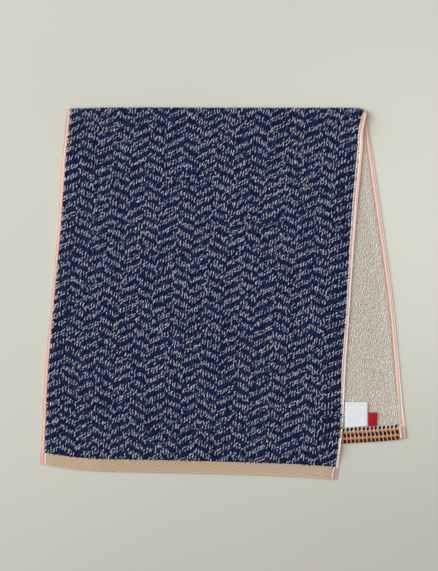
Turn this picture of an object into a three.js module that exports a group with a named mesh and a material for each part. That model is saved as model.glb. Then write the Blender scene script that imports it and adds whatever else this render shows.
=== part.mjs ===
import * as THREE from "three";

// A terry face towel, folded once and laid flat on a table.
// X is to the right, Y is away from the viewer and Z is up, all in millimetres.
// The patterned face is outside the fold and the plain face is inside it.

// The cloth
const PILE_THICK = 3.0;
const HEM_THICK = 2.0;
const SELVEDGE_THICK = 1.4;
const SELVEDGE_WIDE = 5.6;
const UPPER_HEM = 13.2;
const LOWER_HEM = 17.0;
const PILE_SLOPE = 1.6; // run of the slope where the pile begins

// How it lies
const LAYER_GAP = 1.0;
const FOLD_RISE = 2.0; // how much higher the upper layer is at the fold
const FOLD_REACH = 24.0; // how far from the fold that dies away
const EDGE_CLEAR = 2.0; // the upper layer stays level this far past the lower one
const DROP_RUN = 30.0; // and then comes down to the table over this
const SWELL = 0.35; // soft unevenness of the upper layer
const SWELL_LENGTH = 46.0;

// The sewn-on labels
const LABEL_THICK = 1.0;
const LABEL_CLEAR = 0.3; // from the pile that they lie on
const LABEL_STEP = 5.0;

// The mesh
const GRID_STEP = 15.0;
const BEND_STEPS = 8;
const PULL_FROM = 0.72; // share of a layer's length where a pulled hem begins to show
const FOLD_BOW_TO = 0.12; // and where the fold's own bow has died away

// Corners of the two layers in plan; the fold's ends are where the flat cloth begins
const FOLD = { left: [-177.2, 206.9], right: [164.4, 204.2] };
const UPPER_END = { left: [-207.1, -199.8], right: [130.8, -212.1] };
const LOWER_END = { left: [-135.5, -176.5], right: [208.1, -168.4] };

// How far each long edge runs to the right of its straight line, by share of its length
const UPPER_LEFT_BOW = [
  { at: 0.0, by: -0.4 },
  { at: 0.13, by: -2.0 },
  { at: 0.33, by: -1.4 },
  { at: 0.55, by: -2.7 },
  { at: 0.74, by: -4.2 },
  { at: 0.84, by: -3.0 },
  { at: 1.0, by: -0.8 },
];
const UPPER_RIGHT_BOW = [
  { at: 0.0, by: 0.0 },
  { at: 0.05, by: -2.7 },
  { at: 0.13, by: -3.5 },
  { at: 0.3, by: -4.1 },
  { at: 0.65, by: -2.6 },
  { at: 0.87, by: 0.1 },
  { at: 1.0, by: -1.5 },
];
const LOWER_LEFT_BOW = [
  { at: 0.0, by: -0.4 },
  { at: 0.5, by: 2.0 },
  { at: 1.0, by: 0.0 },
];
const LOWER_RIGHT_BOW = [
  { at: 0.0, by: 0.0 },
  { at: 0.06, by: -0.8 },
  { at: 0.2, by: 0.1 },
  { at: 0.55, by: 3.3 },
  { at: 0.85, by: 1.1 },
  { at: 1.0, by: 1.0 },
];

// How far the fold runs out past its straight line, by share of the width from the left
const FOLD_BOW = [
  { at: 0.0, by: 0.0 },
  { at: 0.05, by: 0.3 },
  { at: 0.12, by: 1.2 },
  { at: 0.3, by: 1.9 },
  { at: 0.5, by: 2.2 },
  { at: 0.75, by: 2.8 },
  { at: 0.95, by: 3.1 },
  { at: 0.985, by: 2.0 },
  { at: 1.0, by: 0.3 },
];

// How far each hem is pulled back towards the fold, by share of the width from the left
const UPPER_HEM_PULL = [
  { at: 0.0, by: 5.9 },
  { at: 0.05, by: 3.8 },
  { at: 0.12, by: 1.3 },
  { at: 0.2, by: 0.7 },
  { at: 0.4, by: 1.7 },
  { at: 0.6, by: 2.4 },
  { at: 0.8, by: 2.7 },
  { at: 0.88, by: 2.4 },
  { at: 0.95, by: 1.4 },
  { at: 1.0, by: 0.9 },
];
const LOWER_HEM_PULL = [
  { at: 0.0, by: 2.0 },
  { at: 0.2, by: 0.0 },
  { at: 0.75, by: 0.0 },
  { at: 0.86, by: 1.1 },
  { at: 0.94, by: 2.3 },
  { at: 1.0, by: 4.3 },
];

// The labels in plan, upright beside each other, their lower ends along the lower hem
const LABELS = [
  {
    name: "label",
    left: 138.7,
    right: 164.4,
    top: -123.3,
    bottomLeft: -152.6,
    bottomRight: -150.8,
    lift: 0.5,
    color: 0xe4e6e6,
  },
  {
    name: "tab",
    left: 165.0,
    right: 175.0,
    top: -134.9,
    bottomLeft: -150.7,
    bottomRight: -150.1,
    lift: 0.8,
    color: 0xa81c24,
  },
];

const TOWEL_COLOR = 0x2b3257;

const mix = (a, b, share) => a + (b - a) * share;
const mixPoints = (a, b, share) => [mix(a[0], b[0], share), mix(a[1], b[1], share)];

// A smooth curve through the rows of a table
function curve(rows, at) {
  const last = rows.length - 2;
  const k = Math.min(last, rows.findLastIndex((row, i) => i <= last && row.at <= at));
  const slope = (i) => {
    const before = rows[Math.max(i - 1, 0)];
    const after = rows[Math.min(i + 1, rows.length - 1)];
    return (after.by - before.by) / (after.at - before.at);
  };
  const span = rows[k + 1].at - rows[k].at;
  const t = (at - rows[k].at) / span;
  const rise = rows[k + 1].by - rows[k].by;
  const startBend = slope(k) * span - rise;
  const endBend = rise - slope(k + 1) * span;
  return rows[k].by + t * rise + t * (1 - t) * (startBend * (1 - t) + endBend * t);
}

// A layer's plan: across runs from left to right, along from the fold to the hem
function planPoint(end, leftBow, rightBow, pull, across, along) {
  const left = mixPoints(FOLD.left, end.left, along);
  const right = mixPoints(FOLD.right, end.right, along);
  left[0] += curve(leftBow, along);
  right[0] += curve(rightBow, along);
  const point = mixPoints(left, right, across);
  point[1] += curve(pull, across) * THREE.MathUtils.smoothstep(along, PULL_FROM, 1);
  point[1] += curve(FOLD_BOW, across) * (1 - THREE.MathUtils.smoothstep(along, 0, FOLD_BOW_TO));
  return point;
}

function upperPlan(across, along) {
  return planPoint(UPPER_END, UPPER_LEFT_BOW, UPPER_RIGHT_BOW, UPPER_HEM_PULL, across, along);
}

function lowerPlan(across, along) {
  return planPoint(LOWER_END, LOWER_LEFT_BOW, LOWER_RIGHT_BOW, LOWER_HEM_PULL, across, along);
}

const length = (a, b) => Math.hypot(a[0] - b[0], a[1] - b[1]);
const CLOTH_WIDE = length(UPPER_END.left, UPPER_END.right);
const UPPER_LONG = (length(FOLD.left, UPPER_END.left) + length(FOLD.right, UPPER_END.right)) / 2;
const LOWER_LONG = (length(FOLD.left, LOWER_END.left) + length(FOLD.right, LOWER_END.right)) / 2;

// Thickness from the pile down to thinner cloth, by distance from that cloth's outer edge
function thinned(distance, wide, thin) {
  const share = THREE.MathUtils.clamp((distance - wide) / PILE_SLOPE, 0, 1);
  return mix(thin, PILE_THICK, share);
}

function thickness(across, toHem, hemWide) {
  const toEdge = Math.min(across, 1 - across) * CLOTH_WIDE;
  const besideEdge = thinned(toEdge, SELVEDGE_WIDE, SELVEDGE_THICK);
  return Math.min(besideEdge, thinned(toHem, hemWide, HEM_THICK));
}

// Distances for grid lines from one end to the other, close together where the pile begins
function gridLines(from, to, startStrip, endStrip) {
  const start = startStrip ? [from, from + startStrip, from + startStrip + PILE_SLOPE] : [from];
  const end = endStrip ? [to - endStrip - PILE_SLOPE, to - endStrip, to] : [to];
  const a = start.at(-1);
  const b = end[0];
  const steps = Math.ceil((b - a) / GRID_STEP);
  const between = Array.from({ length: steps - 1 }, (_, i) => mix(a, b, (i + 1) / steps));
  return [...start, ...between, ...end];
}

const acrossLines = gridLines(0, CLOTH_WIDE, SELVEDGE_WIDE, SELVEDGE_WIDE).map((d) => d / CLOTH_WIDE);

// The lower layer's outline, for how far the upper layer reaches past it
function lowerOutline() {
  const steps = Math.ceil(LOWER_LONG / GRID_STEP);
  const shares = Array.from({ length: steps + 1 }, (_, i) => i / steps);
  const down = shares.map((share) => lowerPlan(0, share));
  const right = shares.map((share) => lowerPlan(share, 1));
  const up = shares.map((share) => lowerPlan(1, 1 - share));
  return [...down, ...right.slice(1), ...up.slice(1)];
}

const OUTLINE = lowerOutline();

function distanceToSegment(point, a, b) {
  const dx = b[0] - a[0];
  const dy = b[1] - a[1];
  const along = ((point[0] - a[0]) * dx + (point[1] - a[1]) * dy) / (dx * dx + dy * dy);
  const share = THREE.MathUtils.clamp(along, 0, 1);
  return Math.hypot(point[0] - a[0] - dx * share, point[1] - a[1] - dy * share);
}

// How far a point of the plan is outside the lower layer, and 0 inside it
function pastLower(point) {
  let inside = false;
  let nearest = Infinity;
  OUTLINE.forEach((a, i) => {
    const b = OUTLINE[(i + 1) % OUTLINE.length];
    nearest = Math.min(nearest, distanceToSegment(point, a, b));
    const crosses = a[1] > point[1] !== b[1] > point[1];
    if (crosses && point[0] < a[0] + ((b[0] - a[0]) * (point[1] - a[1])) / (b[1] - a[1])) {
      inside = !inside;
    }
  });
  return inside ? 0 : nearest;
}

// Height of the upper layer's underside
function upperHeight(point, fromFold) {
  const puff = FOLD_RISE * Math.exp(-((fromFold / FOLD_REACH) ** 2));
  const away = 1 - Math.exp(-((fromFold / FOLD_REACH) ** 2));
  const waves = Math.sin(point[0] / SWELL_LENGTH) * Math.cos(point[1] / SWELL_LENGTH);
  const level = PILE_THICK + LAYER_GAP + puff + SWELL * away * (1 + waves);
  const drop = THREE.MathUtils.smoothstep(pastLower(point), EDGE_CLEAR, EDGE_CLEAR + DROP_RUN);
  return level * (1 - drop * away);
}

// Rows of the cloth from the upper hem to the lower one. A row gives, for a share across,
// the point of the patterned face and of the plain face.
function upperRow(fromFold) {
  return (across) => {
    const point = upperPlan(across, fromFold / UPPER_LONG);
    const under = upperHeight(point, fromFold);
    const top = under + thickness(across, UPPER_LONG - fromFold, UPPER_HEM);
    return { front: [...point, top], back: [...point, under] };
  };
}

function bendRow(angle) {
  return (across) => {
    const [x, y] = upperPlan(across, 0);
    const under = PILE_THICK + LAYER_GAP + FOLD_RISE;
    const thick = thickness(across, LOWER_LONG, LOWER_HEM);
    const middle = (under + thick) / 2;
    const outer = (under + thick) / 2;
    const inner = (under - thick) / 2;
    const turned = (radius) => [x, y + radius * Math.sin(angle), middle + radius * Math.cos(angle)];
    return { front: turned(outer), back: turned(inner) };
  };
}

function lowerRow(fromFold) {
  return (across) => {
    const point = lowerPlan(across, fromFold / LOWER_LONG);
    const thick = thickness(across, LOWER_LONG - fromFold, LOWER_HEM);
    return { front: [...point, 0], back: [...point, thick] };
  };
}

function towelRows() {
  const upper = gridLines(0, UPPER_LONG, 0, UPPER_HEM).slice(1).reverse();
  const lower = gridLines(0, LOWER_LONG, 0, LOWER_HEM).slice(1);
  const turns = Array.from({ length: BEND_STEPS + 1 }, (_, i) => (Math.PI * i) / BEND_STEPS);
  return [...upper.map(upperRow), ...turns.map(bendRow), ...lower.map(lowerRow)];
}

// One closed body from a grid of front and back points, given row by row
function closedSheet(grid) {
  const rows = grid.length;
  const columns = grid[0].length;
  const count = rows * columns;
  const nodes = grid.flat();
  const positions = [...nodes.map((node) => node.front), ...nodes.map((node) => node.back)];
  const front = (row, column) => row * columns + column;
  const back = (row, column) => count + front(row, column);
  const faces = [];
  const quad = (a, b, c, d) => faces.push(a, b, c, a, c, d);
  for (let r = 0; r < rows - 1; r += 1) {
    for (let c = 0; c < columns - 1; c += 1) {
      quad(front(r, c), front(r, c + 1), front(r + 1, c + 1), front(r + 1, c));
      quad(back(r, c), back(r + 1, c), back(r + 1, c + 1), back(r, c + 1));
    }
  }
  const lastRow = rows - 1;
  const lastColumn = columns - 1;
  for (let c = 0; c < lastColumn; c += 1) {
    quad(back(0, c), back(0, c + 1), front(0, c + 1), front(0, c));
    quad(front(lastRow, c), front(lastRow, c + 1), back(lastRow, c + 1), back(lastRow, c));
  }
  for (let r = 0; r < lastRow; r += 1) {
    quad(front(r, 0), front(r + 1, 0), back(r + 1, 0), back(r, 0));
    quad(front(r + 1, lastColumn), front(r, lastColumn), back(r, lastColumn), back(r + 1, lastColumn));
  }
  const geometry = new THREE.BufferGeometry();
  geometry.setAttribute("position", new THREE.Float32BufferAttribute(positions.flat(), 3));
  geometry.setIndex(faces);
  geometry.computeVertexNormals();
  return geometry;
}

function clothMaterial(color) {
  return new THREE.MeshStandardMaterial({ color, roughness: 0.95, metalness: 0 });
}

function makeTowel() {
  const grid = towelRows().map((row) => acrossLines.map(row));
  const mesh = new THREE.Mesh(closedSheet(grid), clothMaterial(TOWEL_COLOR));
  mesh.name = "towel";
  return mesh;
}

// A label lies on the lower layer's pile and its free upper end stands up a little
function makeLabel(label) {
  const columns = Math.ceil((label.right - label.left) / LABEL_STEP);
  const rows = Math.ceil((label.top - label.bottomLeft) / LABEL_STEP);
  const shares = (steps) => Array.from({ length: steps + 1 }, (_, i) => i / steps);
  const grid = shares(rows).map((up) =>
    shares(columns).map((across) => {
      const x = mix(label.left, label.right, across);
      const y = mix(mix(label.bottomLeft, label.bottomRight, across), label.top, up);
      const under = PILE_THICK + LABEL_CLEAR + label.lift * up * up;
      return { front: [x, y, under + LABEL_THICK], back: [x, y, under] };
    }),
  );
  const mesh = new THREE.Mesh(closedSheet(grid), clothMaterial(label.color));
  mesh.name = label.name;
  return mesh;
}

// The origin is under the middle of the folded towel
function centred(meshes) {
  meshes[0].geometry.computeBoundingBox();
  const middle = meshes[0].geometry.boundingBox.getCenter(new THREE.Vector3());
  meshes.forEach((mesh) => mesh.geometry.translate(-middle.x, -middle.y, 0));
  return meshes;
}

const group = new THREE.Group();
group.add(...centred([makeTowel(), ...LABELS.map(makeLabel)]));

export default group;
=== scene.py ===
"""Looks of a terry face towel, folded once and laid flat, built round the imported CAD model."""

import math

import bpy
import numpy as np
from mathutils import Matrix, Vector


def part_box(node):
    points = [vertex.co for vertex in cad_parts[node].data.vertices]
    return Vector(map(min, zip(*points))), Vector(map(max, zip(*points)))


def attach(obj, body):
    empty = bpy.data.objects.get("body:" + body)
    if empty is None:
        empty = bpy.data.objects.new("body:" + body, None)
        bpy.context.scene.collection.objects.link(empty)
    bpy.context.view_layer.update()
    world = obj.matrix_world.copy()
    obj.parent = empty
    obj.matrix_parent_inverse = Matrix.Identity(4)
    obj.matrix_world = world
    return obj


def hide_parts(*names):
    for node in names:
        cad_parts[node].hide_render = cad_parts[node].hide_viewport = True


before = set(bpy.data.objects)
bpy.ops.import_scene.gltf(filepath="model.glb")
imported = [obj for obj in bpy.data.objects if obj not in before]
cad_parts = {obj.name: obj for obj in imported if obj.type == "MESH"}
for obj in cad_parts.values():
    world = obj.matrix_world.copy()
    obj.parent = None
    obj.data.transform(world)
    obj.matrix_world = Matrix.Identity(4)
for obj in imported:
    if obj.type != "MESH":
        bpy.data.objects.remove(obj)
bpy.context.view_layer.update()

MM = 0.001
RANDOM = np.random.default_rng(1107)

# The cloth, as in the part's source (mm)

PILE_THICK = 3.0
HEM_THICK = 2.0
SELVEDGE_THICK = 1.4
SELVEDGE_WIDE = 5.6
UPPER_HEM = 13.2
LOWER_HEM = 17.0
PILE_SLOPE = 1.6
LAYER_GAP = 1.0
FOLD_RISE = 2.0
FOLD_REACH = 24.0
EDGE_CLEAR = 2.0
DROP_RUN = 30.0
SWELL = 0.35
SWELL_LENGTH = 46.0
OUTLINE_STEP = 15.0
PULL_FROM = 0.72
FOLD_BOW_TO = 0.12

FOLD_LEFT = np.array([-177.2, 206.9])
FOLD_RIGHT = np.array([164.4, 204.2])
FOLD_BOW = [(0, 0), (0.05, 0.3), (0.12, 1.2), (0.3, 1.9), (0.5, 2.2), (0.75, 2.8), (0.95, 3.1), (0.985, 2.0),
            (1, 0.3)]
UPPER = {
    "left": np.array([-207.1, -199.8]),
    "right": np.array([130.8, -212.1]),
    "left_bow": [(0, -0.4), (0.13, -2.0), (0.33, -1.4), (0.55, -2.7), (0.74, -4.2), (0.84, -3.0), (1, -0.8)],
    "right_bow": [(0, 0), (0.05, -2.7), (0.13, -3.5), (0.3, -4.1), (0.65, -2.6), (0.87, 0.1), (1, -1.5)],
    "pull": [(0, 5.9), (0.05, 3.8), (0.12, 1.3), (0.2, 0.7), (0.4, 1.7), (0.6, 2.4), (0.8, 2.7), (0.88, 2.4),
             (0.95, 1.4), (1, 0.9)],
}
LOWER = {
    "left": np.array([-135.5, -176.5]),
    "right": np.array([208.1, -168.4]),
    "left_bow": [(0, -0.4), (0.5, 2.0), (1, 0)],
    "right_bow": [(0, 0), (0.06, -0.8), (0.2, 0.1), (0.55, 3.3), (0.85, 1.1), (1, 1.0)],
    "pull": [(0, 2.0), (0.2, 0), (0.75, 0), (0.86, 1.1), (0.94, 2.3), (1, 4.3)],
}


def layer_length(layer):
    sides = [np.linalg.norm(FOLD_LEFT - layer["left"]), np.linalg.norm(FOLD_RIGHT - layer["right"])]
    return float(np.mean(sides))


CLOTH_WIDE = float(np.linalg.norm(UPPER["right"] - UPPER["left"]))
UPPER_LONG = layer_length(UPPER)
LOWER_LONG = layer_length(LOWER)
FOLD_UNDER = PILE_THICK + LAYER_GAP + FOLD_RISE  # height of the upper layer's underside at the fold
BEND_RADIUS = FOLD_UNDER / 2
BEND_LONG = math.pi * BEND_RADIUS
LOWER_FROM = UPPER_LONG + BEND_LONG
CLOTH_LONG = LOWER_FROM + LOWER_LONG


def mix(a, b, share):
    return a + (b - a) * share


def smooth(x, low, high):
    share = np.clip((x - low) / (high - low), 0, 1)
    return share * share * (3 - 2 * share)


def curve(table, at):
    """A smooth curve through the rows of a table."""
    x, y = np.array(table, float).T
    at = np.clip(at, x[0], x[-1])
    before = np.maximum(np.arange(len(x)) - 1, 0)
    after = np.minimum(np.arange(len(x)) + 1, len(x) - 1)
    slope = (y[after] - y[before]) / (x[after] - x[before])
    k = np.clip(np.searchsorted(x, at, side="right") - 1, 0, len(x) - 2)
    span = x[k + 1] - x[k]
    rise = y[k + 1] - y[k]
    share = (at - x[k]) / span
    start_bend = slope[k] * span - rise
    end_bend = rise - slope[k + 1] * span
    return y[k] + share * rise + share * (1 - share) * (start_bend * (1 - share) + end_bend * share)


def plan(layer, across, along):
    """A layer's plan: across runs from left to right, along from the fold to the hem."""
    left_x = mix(FOLD_LEFT[0], layer["left"][0], along) + curve(layer["left_bow"], along)
    right_x = mix(FOLD_RIGHT[0], layer["right"][0], along) + curve(layer["right_bow"], along)
    left_y = mix(FOLD_LEFT[1], layer["left"][1], along)
    right_y = mix(FOLD_RIGHT[1], layer["right"][1], along)
    pull = curve(layer["pull"], across) * smooth(along, PULL_FROM, 1)
    bow = curve(FOLD_BOW, across) * (1 - smooth(along, 0, FOLD_BOW_TO))
    return mix(left_x, right_x, across), mix(left_y, right_y, across) + pull + bow


def outline(layer, length):
    share = np.linspace(0, 1, math.ceil(length / OUTLINE_STEP) + 1)
    zero = np.zeros_like(share)
    sides = [(zero, share), (share[1:], zero[1:] + 1), (zero[1:] + 1, share[::-1][1:])]
    return np.concatenate([np.stack(plan(layer, *side), 1) for side in sides])


UPPER_OUTLINE = outline(UPPER, UPPER_LONG)
LOWER_OUTLINE = outline(LOWER, LOWER_LONG)


def distance_past(shape, x, y):
    """How far points are outside a plan outline, and below 0 inside it."""
    nearest = np.full(np.shape(x), np.inf)
    inside = np.zeros(np.shape(x), bool)
    for (ax, ay), (bx, by) in zip(shape, np.roll(shape, -1, axis=0)):
        dx, dy = bx - ax, by - ay
        share = np.clip(((x - ax) * dx + (y - ay) * dy) / (dx * dx + dy * dy), 0, 1)
        nearest = np.minimum(nearest, np.hypot(x - ax - dx * share, y - ay - dy * share))
        inside ^= ((ay > y) != (by > y)) & (x < ax + dx * (y - ay) / (dy or 1))
    return np.where(inside, -nearest, nearest)


def upper_under(x, y, from_fold):
    """Height of the upper layer's underside."""
    near = np.exp(-((from_fold / FOLD_REACH) ** 2))
    waves = np.sin(x / SWELL_LENGTH) * np.cos(y / SWELL_LENGTH)
    level = PILE_THICK + LAYER_GAP + FOLD_RISE * near + SWELL * (1 - near) * (1 + waves)
    drop = smooth(distance_past(LOWER_OUTLINE, x, y), EDGE_CLEAR, EDGE_CLEAR + DROP_RUN)
    return level * (1 - drop * (1 - near))


def thinned(distance, wide, thin):
    return mix(thin, PILE_THICK, np.clip((distance - wide) / PILE_SLOPE, 0, 1))


def thickness(s, t):
    beside_edge = thinned(np.minimum(s, CLOTH_WIDE - s), SELVEDGE_WIDE, SELVEDGE_THICK)
    at_upper_hem = thinned(t, UPPER_HEM, HEM_THICK)
    at_lower_hem = thinned(CLOTH_LONG - t, LOWER_HEM, HEM_THICK)
    return np.minimum(beside_edge, np.minimum(at_upper_hem, at_lower_hem))


def uncentred(s, t):
    """The middle of the cloth: s from the left selvedge, t from the upper hem and round the fold."""
    s, t = np.broadcast_arrays(np.asarray(s, float), np.asarray(t, float))
    across = s / CLOTH_WIDE
    half = thickness(s, t) / 2
    point = np.empty(s.shape + (3,))
    upper = t <= UPPER_LONG
    lower = t >= LOWER_FROM
    bend = ~(upper | lower)

    from_fold = UPPER_LONG - t[upper]
    x, y = plan(UPPER, across[upper], from_fold / UPPER_LONG)
    point[upper] = np.stack([x, y, upper_under(x, y, from_fold) + half[upper]], -1)

    angle = (t[bend] - UPPER_LONG) / BEND_RADIUS
    x, y = plan(UPPER, across[bend], np.zeros(angle.shape))
    z = BEND_RADIUS + half[bend] + BEND_RADIUS * np.cos(angle)
    point[bend] = np.stack([x, y + BEND_RADIUS * np.sin(angle), z], -1)

    x, y = plan(LOWER, across[lower], (t[lower] - LOWER_FROM) / LOWER_LONG)
    point[lower] = np.stack([x, y, half[lower]], -1)
    return point


FOLD_SAMPLES = 200


def centring():
    """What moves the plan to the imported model's origin."""
    across = np.linspace(0, 1, FOLD_SAMPLES)
    top = plan(UPPER, across, np.zeros_like(across))[1].max() + BEND_RADIUS + PILE_THICK / 2
    ends = np.concatenate([UPPER_OUTLINE, LOWER_OUTLINE, [(FOLD_LEFT[0], top)]])
    cad_low, cad_high = (np.array(corner[:2]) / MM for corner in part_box("towel"))
    return np.append((cad_low + cad_high) / 2 - (ends.min(axis=0) + ends.max(axis=0)) / 2, 0)


CENTRING = centring()
FRAME_STEP = 0.4  # to the neighbours that give the cloth's directions

# The thin selvedges sink, and the pile comes down to them between two distances from the edge

DROOP_FROM = 4.5
DROOP_TO = 13.0
LEFT_DROOP = [(0, 0.3), (1, 0.3)]  # how far they sink, by share of the cloth's length
RIGHT_DROOP = [(0, 0.3), (0.04, 0.3), (0.08, 1.0), (0.44, 1.0), (0.5, 0.3), (0.55, -0.15), (1, -0.15)]


def cloth(s, t):
    """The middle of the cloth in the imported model's frame, its selvedges sunk a little."""
    point = uncentred(s, t) + CENTRING
    share = t / CLOTH_LONG
    for from_edge, droop in ((s, LEFT_DROOP), (CLOTH_WIDE - s, RIGHT_DROOP)):
        point[..., 2] -= curve(droop, share) * (1 - smooth(from_edge, DROOP_FROM, DROOP_TO))
    return point


def unit(vectors):
    return vectors / np.linalg.norm(vectors, axis=-1, keepdims=True)


def cloth_frame(s, t):
    """Points of the middle of the cloth with their directions across, along and out of the patterned face."""
    here = cloth(s, t)
    across = unit(cloth(s + FRAME_STEP, t) - here)
    along = unit(cloth(s, t + FRAME_STEP) - here)
    return here, across, along, unit(np.cross(across, along))


# Meshes

TABLE_CLEAR = 0.05  # what lies on the table is pressed flat above this
UV_MARGIN = 0.01  # clear edge of the UV map
UV_HALF = 0.48  # how far across it one face of a sheet goes
UV_RIM = 0.99  # a sheet's sides are slivers in it


def show(thing):
    bpy.context.scene.collection.objects.link(thing)


def flat_faces(groups):
    """Corners, and each face's first corner, of groups of faces."""
    corners = np.concatenate([group.ravel() for group in groups])
    counts = np.concatenate([np.full(len(group), group.shape[1]) for group in groups])
    return corners, np.concatenate([[0], np.cumsum(counts)[:-1]])


def make_piece(name, points, groups, material, uv, values=None):
    """A smooth mesh piece from points in mm, groups of faces, UV corners and values at its points."""
    corners, starts = flat_faces(groups)
    points = np.column_stack([points[:, :2], np.maximum(points[:, 2], TABLE_CLEAR)])
    mesh = bpy.data.meshes.new(name)
    mesh.vertices.add(len(points))
    mesh.vertices.foreach_set("co", (points * MM).astype(np.float32).ravel())
    mesh.loops.add(len(corners))
    mesh.loops.foreach_set("vertex_index", corners.astype(np.int32))
    mesh.polygons.add(len(starts))
    mesh.polygons.foreach_set("loop_start", starts.astype(np.int32))
    mesh.polygons.foreach_set("use_smooth", np.ones(len(starts), bool))
    mesh.update(calc_edges=True)
    for key, value in (values or {}).items():
        attribute = mesh.attributes.new(key, "FLOAT", "POINT")
        attribute.data.foreach_set("value", value.astype(np.float32).ravel())
    layer = mesh.uv_layers.new(name="OFBake")
    layer.data.foreach_set("uv", uv.astype(np.float32).ravel())
    mesh.materials.append(material)
    piece = bpy.data.objects.new(name, mesh)
    show(piece)
    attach(piece, "root")
    return piece


def inset(share, margin):
    return margin + (1 - 2 * margin) * share


def strip_uv(rows, columns, left, right):
    u = np.linspace(left, right, columns)
    v = inset(np.linspace(0, 1, rows), UV_MARGIN)
    return np.stack(np.meshgrid(u, v), -1).reshape(-1, 2)


def closed_sheet(front, back):
    """One closed sheet from a grid of front points and one of back points: points, faces and UV corners."""
    rows, columns = front.shape[:2]
    count = rows * columns
    index = np.arange(count).reshape(rows, columns)
    points = np.concatenate([front.reshape(-1, 3), back.reshape(-1, 3)])
    uv = np.concatenate([
        strip_uv(rows, columns, UV_MARGIN, UV_HALF),
        strip_uv(rows, columns, 1 - UV_MARGIN, 1 - UV_HALF),
    ])
    a, b, c, d = index[:-1, :-1], index[:-1, 1:], index[1:, 1:], index[1:, :-1]
    tops = np.stack([a, b, c, d], -1).reshape(-1, 4)
    bottoms = np.stack([a, d, c, b], -1).reshape(-1, 4) + count
    ring = np.concatenate([index[0, :-1], index[:-1, -1], index[-1, :0:-1], index[:0:-1, 0]])
    after = np.roll(ring, -1)
    sides = np.stack([after, ring, ring + count, after + count], -1)
    quads = np.concatenate([tops, bottoms, sides])
    corner_uv = uv[quads]
    side_uv = corner_uv[len(tops) + len(bottoms):]
    side_uv[:, 2:] = side_uv[:, 1::-1] * UV_RIM
    return points, quads, corner_uv


def midway(lines):
    return (lines[1:] + lines[:-1]) / 2


def sheet_piece(name, s_lines, t_lines, height, material, shades, rim):
    """A closed piece of cloth over a grid, its two faces at one height from the middle of the cloth. shades
    gives the colours of its front and back faces, and rim is that of its sides."""
    s, t = np.meshgrid(s_lines, t_lines)
    here, _, _, up = cloth_frame(s, t)
    rise = up * height(s, t)[..., None]
    points, quads, uv = closed_sheet(here + rise, here - rise)
    piece = make_piece(name, points, [quads], material, uv)
    faces = np.concatenate([*shades(*np.meshgrid(midway(s_lines), midway(t_lines)))])
    colors = np.concatenate([faces, np.tile(rim, (len(quads) - len(faces), 1))])
    attribute = piece.data.color_attributes.new("tint", "FLOAT_COLOR", "CORNER")
    attribute.data.foreach_set("color", np.repeat(colors, 4, axis=0).astype(np.float32).ravel())
    return piece


def steps(*marks):
    """Grid lines through marks, each mark a place and the longest step up to it."""
    lines = [np.array([marks[0][0]])]
    for (start, _), (stop, step) in zip(marks, marks[1:]):
        lines.append(np.linspace(start, stop, max(1, math.ceil((stop - start) / step)) + 1)[1:])
    return np.concatenate(lines)


def ringed_faces(rings, sides):
    """A closed tube of rings, and then its end points: quads, end triangles, and the UV corners of both."""
    ends = np.full((1, sides), rings * sides)
    index = np.concatenate([ends, np.arange(rings * sides).reshape(rings, sides), ends + 1])
    after = np.roll(index, -1, axis=1)
    quads = np.stack([index[:-1], after[:-1], after[1:], index[1:]], -1)
    k, j = np.indices((rings + 1, sides))
    along = np.stack([k, k, k + 1, k + 1], -1) / (rings + 1)
    around = np.stack([j, j + 1, j + 1, j], -1) / sides
    uv = np.stack([along, around], -1)
    caps, cap_uv = (np.concatenate([each[0][:, [0, 2, 3]], each[-1][:, [2, 0, 1]]]) for each in (quads, uv))
    cap_uv[:, 0, 1] = (j[:2].ravel() + 0.5) / sides
    return quads[1:-1].reshape(-1, 4), caps, uv[1:-1].reshape(-1, 4, 2), cap_uv


def rings_round(middle, side, up, half_wide, half_high, level, rise):
    """Rings of points round places, given their sections' level and rising parts."""
    sideways = side[..., None, :] * (half_wide[..., None] * level)[..., None]
    return middle[..., None, :] + sideways + up[..., None, :] * (half_high[..., None] * rise)[..., None]


# Loops of pile

GROUND_HALF = 0.4  # half the ground's thickness under the pile
LOOP_SINK = 0.25  # how deep a loop's ends go into the ground
LOOP_TURNS = 2.5  # twist of the yarn along a loop
LOOP_SIDE_SHADE = 0.38  # painted shade: how light a loop's sides are, against its crown
LOOP_FLAT = 0.4  # most height of half its section, against its width
LOOP_TAPER = 0.55  # how much it narrows towards its ends
LOOP_CELL = 0.15  # clear edge of its cell of the UV map
RING_REACH = {2: [-0.45, 0.45], 3: [-0.62, 0.0, 0.62], 4: [-0.9, -0.4, 0.4, 0.9]}  # its rings, end to end
ARCH_POWER = 2.2
BLUNT_POWER = 12.0  # of dashes, which lie flat
SECTION_FROM = {3: 90.0, 6: 60.0}  # where a section's first corner is, in degrees


def loop_points(loops, reach, arch, angle):
    """Points of loops: their rings and then their ends."""
    each = {key: value[:, None] for key, value in loops.items()}
    sin, cos = np.sin(each["lean"]), np.cos(each["lean"])
    a = reach * each["length"] / 2
    b = each["bow"] * (1 - reach**2)
    s = each["s"] + a * sin + b * cos
    t = each["t"] + a * cos - b * sin
    here, across, along, up = cloth_frame(s, t)
    face = each["face"][..., None]
    up = up * face
    side = (across * cos[..., None] - along * sin[..., None]) * face

    half_high = np.minimum(each["wide"] * LOOP_FLAT, (each["crown"] - each["base"]) / 2)
    centre = each["base"] - LOOP_SINK + (each["crown"] - half_high - each["base"] + LOOP_SINK) * arch
    middle = here + up * centre[..., None]
    swell = np.sqrt(np.clip(1 - LOOP_TAPER * reach**2, 0, 1))
    halves = each["wide"] / 2 * swell, half_high * swell
    rings = rings_round(middle, side, up, *halves, np.cos(angle), np.sin(angle))
    rings = rings[:, 1:-1].reshape(len(middle), -1, 3)
    return np.concatenate([rings, middle[:, :1], middle[:, -1:]], 1)


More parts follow.
